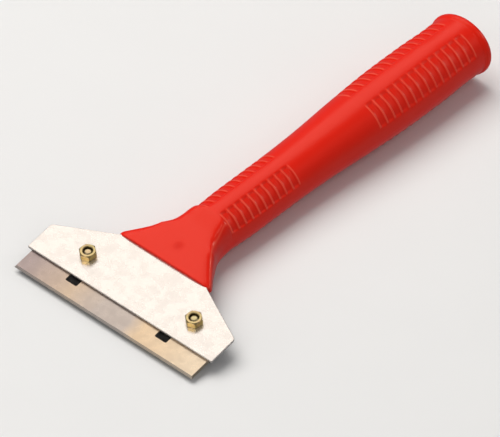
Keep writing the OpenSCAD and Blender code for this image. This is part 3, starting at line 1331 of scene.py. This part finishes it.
@dataclass
class ClampScrew(Fastener):
    """A clamp screw: domed head, square neck, and a threaded shank with a domed end."""

    shank: float = 1.95
    groove: float = 0.33
    tip: float = 2.6
    tip_dome: float = 0.55
    neck_low: float = -3.9
    neck_high: float = -2.3
    neck_half: float = 1.98
    head_radius: float = 3.98
    head_low: float = -5.48

    def shape(self) -> Shape:
        """The whole screw."""
        made = Shape()
        height = np.arange(self.neck_high - 0.02, self.tip - self.tip_dome + 0.001, self.pitch / 9)
        cut = self.thread(height) * smooth((self.tip - self.tip_dome - height) / 0.25)[:, None]
        shank = self.rings(self.shank - self.groove * cut, height[:, None])
        turns = np.linspace(0, math.pi / 2, 9)[1:-1]
        dome_r = (self.shank - 0.28 * np.sin(turns * 0.6)) * np.cos(turns) ** 0.55
        dome_n = self.tip - self.tip_dome * (1 - np.sin(turns))
        dome = self.rings(dome_r[:, None], dome_n[:, None])
        rings = np.concatenate([shank, dome])
        # Painted shade in the thread's grooves (hollow mark) and painted highlight on its crests and on the
        # head (ridge mark).
        hollow = np.concatenate([cut * 0.8, np.zeros((len(turns), self.around))])
        made.loft(rings, hollow=hollow, ridge=1 - hollow)
        u, v, half = SCREWS.u(self.side), SCREWS.v, self.neck_half
        neck = rounded_box((u - half, v - half), (u + half, v + half), 0.2, 3)
        made.slab(neck, self.neck_low - 0.1, self.neck_high, edge=0.08)
        self.level_marks(made)
        turns = np.linspace(0, math.pi / 2, 14)
        radius = self.head_radius * np.sin(turns)[1:] ** 0.9
        low = self.neck_low - 0.25 + (self.head_low - self.neck_low + 0.25) * np.cos(turns)[1:]
        flat_r = np.array([self.head_radius, self.head_radius - 0.12, self.neck_half])
        flat_n = np.array([self.neck_low - 0.12, self.neck_low, self.neck_low])
        all_r, all_n = np.concatenate([radius, flat_r]), np.concatenate([low, flat_n])
        head = self.rings(all_r[:, None], all_n[:, None])
        made.loft(head, hollow=np.zeros(head.shape[:2]), ridge=np.full(head.shape[:2], 0.3))
        return made

    def level_marks(self, shape: Shape) -> None:
        """Fills the marks of points that were added without any."""
        for values in shape.marks.values():
            short = shape.count() - sum(len(v) for v in values)
            values.append(np.zeros(short))

    def build(self, shop: Workshop, finish: bpy.types.Material) -> None:
        """Makes the screw piece."""
        name = self.side.name.lower()
        shop.piece(
            f"clamp_screw_{name}", self.shape(), finish, "clamp", f"screw_{name}"
        )


@dataclass
class ClampNut(Fastener):
    """A hexagon nut with chamfered corners, countersinks and an inside thread."""

    flats: float = 7.0
    low: float = 0.05
    high: float = 3.25
    turn: float = math.radians(21)
    bore: float = 2.0
    groove: float = 0.26
    sink: float = 2.32
    chamfer: float = 3.32

    def hexagon(self) -> np.ndarray:
        """Distance from the axis to the flats at each angle, with the corners just rounded."""
        angle = (self.turns() - self.turn) % (math.pi / 3) - math.pi / 6
        sharp = self.flats / 2 / np.cos(angle)
        return soft_min(sharp, np.full_like(sharp, self.flats / 2 / math.cos(math.pi / 6)), 0.05)

    def shape(self) -> Shape:
        """The whole nut, as one closed skin."""
        one = np.ones(self.around)
        sides = self.hexagon()
        slope = math.tan(math.radians(60))
        span = (sides.max() - self.chamfer) / slope
        rises = np.linspace(0, span, 7)
        radii: list[np.ndarray] = []
        heights: list[np.ndarray] = []
        hollow: list[float] = []
        ridge: list[float] = []

        def ring(radius: np.ndarray | float, height: float, dark: float, bright: float) -> None:
            """Adds a ring."""
            radii.append(radius * one)
            heights.append(height * one)
            hollow.append(dark)
            ridge.append(bright)

        # The third number of each ring is its hollow mark, painted darker as shade in the bore, thread and
        # countersinks; the fourth is its ridge mark, painted lighter as a highlight on the chamfers and the
        # top face's edges.
        ring(self.sink, self.low, 0.7, 0.0)
        ring(self.chamfer - 0.1, self.low, 0.2, 0.2)
        for rise in rises:
            ring(np.minimum(sides, self.chamfer + rise * slope), self.low + rise * 0.6, 0.0, 0.4)
        for share in (0.25, 0.5, 0.75):
            ring(sides, self.low + span + (self.high - self.low - 2 * span) * share, 0.0, 0.0)
        for rise in rises[::-1]:
            ring(np.minimum(sides, self.chamfer + rise * slope), self.high - rise, 0.0, 0.5)
        ring(self.chamfer - 0.08, self.high, 0.0, 0.6)
        ring(self.sink + 0.12, self.high, 0.0, 0.8)
        ring(self.sink, self.high - 0.05, 0.3, 0.6)
        ring(self.bore + 0.04, self.high - 0.36, 0.9, 0.0)
        inside = np.linspace(self.high - 0.42, self.low + 0.36, 38)
        cut = self.thread(inside)
        for k, height in enumerate(inside):
            ring(self.bore + self.groove * cut[k], height, 1.0, 0.0)
        made = Shape()
        made.loft(
            self.rings(np.stack(radii), np.stack(heights)),
            caps=False,
            loop=True,
            hollow=np.repeat(np.array(hollow)[:, None], self.around, axis=1),
            ridge=np.repeat(np.array(ridge)[:, None], self.around, axis=1),
        )
        return made

    def build(self, shop: Workshop, finish: bpy.types.Material) -> None:
        """Makes the nut piece."""
        name = self.side.name.lower()
        shop.piece(
            f"clamp_nut_{name}", self.shape(), finish, f"nut_{name}", f"nut_{name}"
        )


# ---------------------------------------------------------------- studio


@dataclass(frozen=True)
class Lamp:
    """A square soft light: direction in the head frame, side in metres, and power in watts."""

    name: str
    toward: tuple[float, float, float]
    size: float
    power: float
    mirrored: bool = True


@dataclass
class Studio:
    """Pale floor, soft lights and the camera."""

    head: HeadFrame
    floor_radius: float = 4.0
    floor_sides: int = 96
    target: tuple[float, float, float] = (0.00823, -0.0367, 0.01317)
    azimuth: float = math.radians(35.713)
    elevation: float = math.radians(40.685)
    roll: float = math.radians(6.494)
    distance: float = 2.611
    lens: float = 435.5
    sensor: float = 36.0
    sky: tuple[float, float, float] = (0.95, 0.97, 1.0)
    sky_strength: float = 0.16
    lamp_distance: float = 2.4
    lamp_colour: tuple[float, float, float] = (1.0, 0.95, 0.88)
    lamps: tuple[Lamp, ...] = (
        Lamp("softbox", (-0.466, 0.53, 0.708), 1.95, 13.5),
        Lamp("crease_light", (0.42, 0.447, 0.767), 0.45, 2.0),
        Lamp("lip_light", (-0.05, -0.64, 0.76), 0.55, 3.5),
        Lamp("rim_light", (0.35, 0.9, 0.25), 0.5, 4.0),
        Lamp("front_light", (-0.46, -0.74, 0.42), 0.9, 3.2),
        Lamp("overhead", (-0.45, 0.15, 0.87), 2.0, 47.0, mirrored=False),
        Lamp("side_fill", (0.7, -0.4, 0.6), 1.6, 6.0, mirrored=False),
    )

    def floor(self) -> None:
        """A wide disc under the tool."""
        sides = self.floor_sides
        rim = circle(0.0, 0.0, self.floor_radius, sides)
        points = [(0.0, 0.0, 0.0)] + [(x, y, 0.0) for x, y in rim]
        faces = [(0, k + 1, (k + 1) % sides + 1) for k in range(sides)]
        mesh = bpy.data.meshes.new("studio_floor")
        mesh.from_pydata(points, [], faces)
        mesh.materials.append(PaleFloor().make())
        made = bpy.data.objects.new("studio_floor", mesh)
        made.visible_glossy = False
        bpy.context.scene.collection.objects.link(made)

    def light(self, lamp: Lamp) -> None:
        """Puts up a lamp, aimed at the tool."""
        toward = self.head.direction(*lamp.toward)
        light = bpy.data.lights.new(lamp.name, "AREA")
        light.shape, light.size, light.energy = "SQUARE", lamp.size, lamp.power
        light.color = self.lamp_colour
        made = bpy.data.objects.new(lamp.name, light)
        made.visible_glossy = lamp.mirrored
        made.location = Vector(self.target) + toward * self.lamp_distance
        made.rotation_euler = toward.to_track_quat("Z", "Y").to_euler()
        bpy.context.scene.collection.objects.link(made)

    def camera(self) -> None:
        """The camera, turned a little about its own line of sight."""
        a, e = self.azimuth, self.elevation
        back = Vector((math.sin(a) * math.cos(e), -math.cos(a) * math.cos(e), math.sin(e)))
        level = Vector((math.cos(a), math.sin(a), 0.0))
        upright = back.cross(level)
        right = level * math.cos(self.roll) + upright * math.sin(self.roll)
        up = upright * math.cos(self.roll) - level * math.sin(self.roll)
        data = bpy.data.cameras.new("camera")
        data.lens, data.sensor_width = self.lens, self.sensor
        data.clip_start, data.clip_end = 0.05, 50.0
        made = bpy.data.objects.new("camera", data)
        place = Matrix((right, up, back)).transposed().to_4x4()
        place.translation = Vector(self.target) + back * self.distance
        made.matrix_world = place
        bpy.context.scene.collection.objects.link(made)
        bpy.context.scene.camera = made

    def build(self) -> None:
        """Makes the floor, the lights, the world and the camera."""
        self.floor()
        for lamp in self.lamps:
            self.light(lamp)
        world = bpy.data.worlds.new("soft_room")
        world.use_nodes = True
        background = world.node_tree.nodes["Background"].inputs
        background["Color"].default_value = (*self.sky, 1.0)
        background["Strength"].default_value = self.sky_strength
        bpy.context.scene.world = world
        bpy.context.scene.view_settings.view_transform = "Standard"
        self.camera()


def main() -> None:
    """Builds every sub-assembly in order."""
    logging.basicConfig(level=logging.INFO, format="%(message)s")
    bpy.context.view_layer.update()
    head = HeadFrame.from_record(frame["record"])
    shop = Workshop(head)
    Studio(head).build()

    red = RedPlastic().make(head)
    Handle().build(shop, red)
    EndPlug().build(shop, RedPlastic("red_plug_plastic", (0.70, 0.010, 0.004), gloss=0.32).make(head))
    HeadPlate().build(shop, SatinSteel().make(head))
    Blade().build(shop, SpringSteel().make(head))
    ClampBar().build(shop, BlackSteel(Coat.OXIDE, 0.38).make(head))
    lacquer = BlackSteel(Coat.LACQUER, 0.34).make(head)
    zinc = YellowZinc().make(head)
    for side in Side:
        Lug(side).build(shop, lacquer)
        ClampScrew(side).build(shop, zinc)
        ClampNut(side).build(shop, zinc)


if __name__ == "__main__":
    main()
